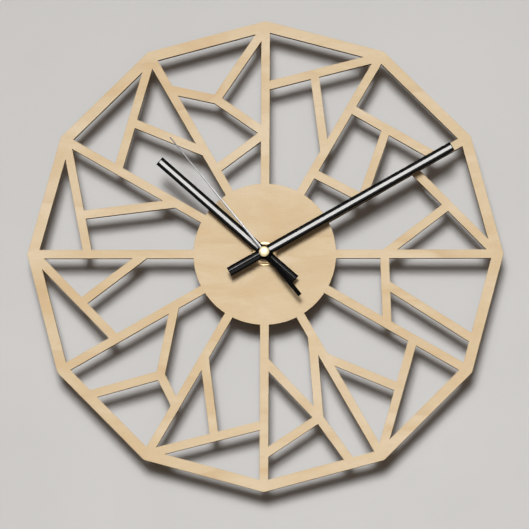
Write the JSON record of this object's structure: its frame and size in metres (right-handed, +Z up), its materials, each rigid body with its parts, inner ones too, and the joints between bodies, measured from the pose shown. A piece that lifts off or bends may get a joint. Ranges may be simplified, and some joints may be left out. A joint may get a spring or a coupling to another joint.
{
  "type": "wall clock",
  "caption": "Round wall clock with an open plywood lattice dial, black hands with pale inlays and a boxed quartz movement behind the centre disc.",
  "frame": {"origin": "on the hand axis, in the plane of the wall that the flat rear of the movement rests against", "axes": "+Z up, -Y out of the dial towards the reader, +Y into the wall, +X to the reader's right"},
  "size_m": [0.3, 0.0327, 0.3],
  "materials": {
    "plywood": "sanded birch plywood, laser cut, satin",
    "case_black": "moulded black ABS, matte",
    "gloss_black": "gloss black paint on stamped aluminium",
    "pale_inlay": "white strip, satin",
    "brass": "polished brass",
    "steel": "plain steel, satin",
    "rubber": "black rubber, matte",
    "white_plastic": "white acetal, satin",
    "copper_wire": "enamelled copper wire, satin",
    "board_green": "glass-epoxy board, satin",
    "resin_black": "black epoxy drop, gloss",
    "cell_sleeve": "plain dark sleeve, satin"
  },
  "bodies": {
    "clock_frame": {"dial_plate": "plywood", "case_shell": "case_black", "rear_cover": "case_black", "hanger_loop": "case_black", "cover_screw_1": "steel", "cover_screw_2": "steel", "cover_screw_3": "steel", "cover_screw_4": "steel", "train_bridge": "white_plastic", "positive_contact": "steel", "negative_contact": "steel", "stator": "steel", "coil_core": "steel", "coil_bobbin": "white_plastic", "coil_winding": "copper_wire", "circuit_board": "board_green", "controller_chip": "resin_black", "crystal_can": "steel", "threaded_bushing": "brass", "rubber_gasket": "rubber", "brass_washer": "brass", "hex_nut": "brass"},
    "minute_set": {"centre_wheel": "brass", "minute_hand": "gloss_black", "minute_hand_inlay": "pale_inlay"},
    "hour_set": {"hour_wheel": "white_plastic", "hour_hand": "gloss_black", "hour_hand_inlay": "pale_inlay"},
    "second_set": {"second_wheel": "steel", "second_hand": "gloss_black", "second_hand_socket": "brass", "hand_cap": "brass"},
    "third_set": {"third_wheel": "white_plastic"},
    "intermediate_set": {"intermediate_wheel": "white_plastic"},
    "rotor_set": {"rotor_pinion": "white_plastic", "rotor_magnet": "steel"},
    "setting_set": {"motion_wheel": "white_plastic", "set_knob": "case_black"},
    "battery_cell": {"battery": "cell_sleeve"}
  },
  "joints": [
    {"name": "minute_turn", "type": "hinge", "parent": "clock_frame", "child": "minute_set", "pos_m": [0, 0, 0], "axis": [0, 1, 0], "continuous": true},
    {"name": "hour_turn", "type": "hinge", "parent": "clock_frame", "child": "hour_set", "pos_m": [0, 0, 0], "axis": [0, 1, 0], "continuous": true},
    {"name": "second_turn", "type": "hinge", "parent": "clock_frame", "child": "second_set", "pos_m": [0, 0, 0], "axis": [0, 1, 0], "continuous": true},
    {"name": "third_wheel_turn", "type": "hinge", "parent": "clock_frame", "child": "third_set", "pos_m": [-0.00797, 0, 0.0046], "axis": [0, 1, 0], "continuous": true},
    {"name": "intermediate_wheel_turn", "type": "hinge", "parent": "clock_frame", "child": "intermediate_set", "pos_m": [0.00309, 0, 0.0085], "axis": [0, 1, 0], "continuous": true},
    {"name": "rotor_turn", "type": "hinge", "parent": "clock_frame", "child": "rotor_set", "pos_m": [0.00909, 0, 0.0121], "axis": [0, 1, 0], "continuous": true},
    {"name": "set_knob_turn", "type": "hinge", "parent": "clock_frame", "child": "setting_set", "pos_m": [0.00945, 0, 0.00167], "axis": [0, 1, 0], "continuous": true},
    {"name": "battery_slide", "type": "slide", "parent": "clock_frame", "child": "battery_cell", "axis": [0, 1, 0], "range_m": [0, 0.018]}
  ],
  "couplings": [
    {"joint": "hour_turn", "follows": "minute_turn", "ratio": 0.083333},
    {"joint": "second_turn", "follows": "minute_turn", "ratio": 60},
    {"joint": "third_wheel_turn", "follows": "minute_turn", "ratio": -8},
    {"joint": "intermediate_wheel_turn", "follows": "minute_turn", "ratio": -300},
    {"joint": "rotor_turn", "follows": "minute_turn", "ratio": 1800},
    {"joint": "set_knob_turn", "follows": "minute_turn", "ratio": -0.33333}
  ]
}
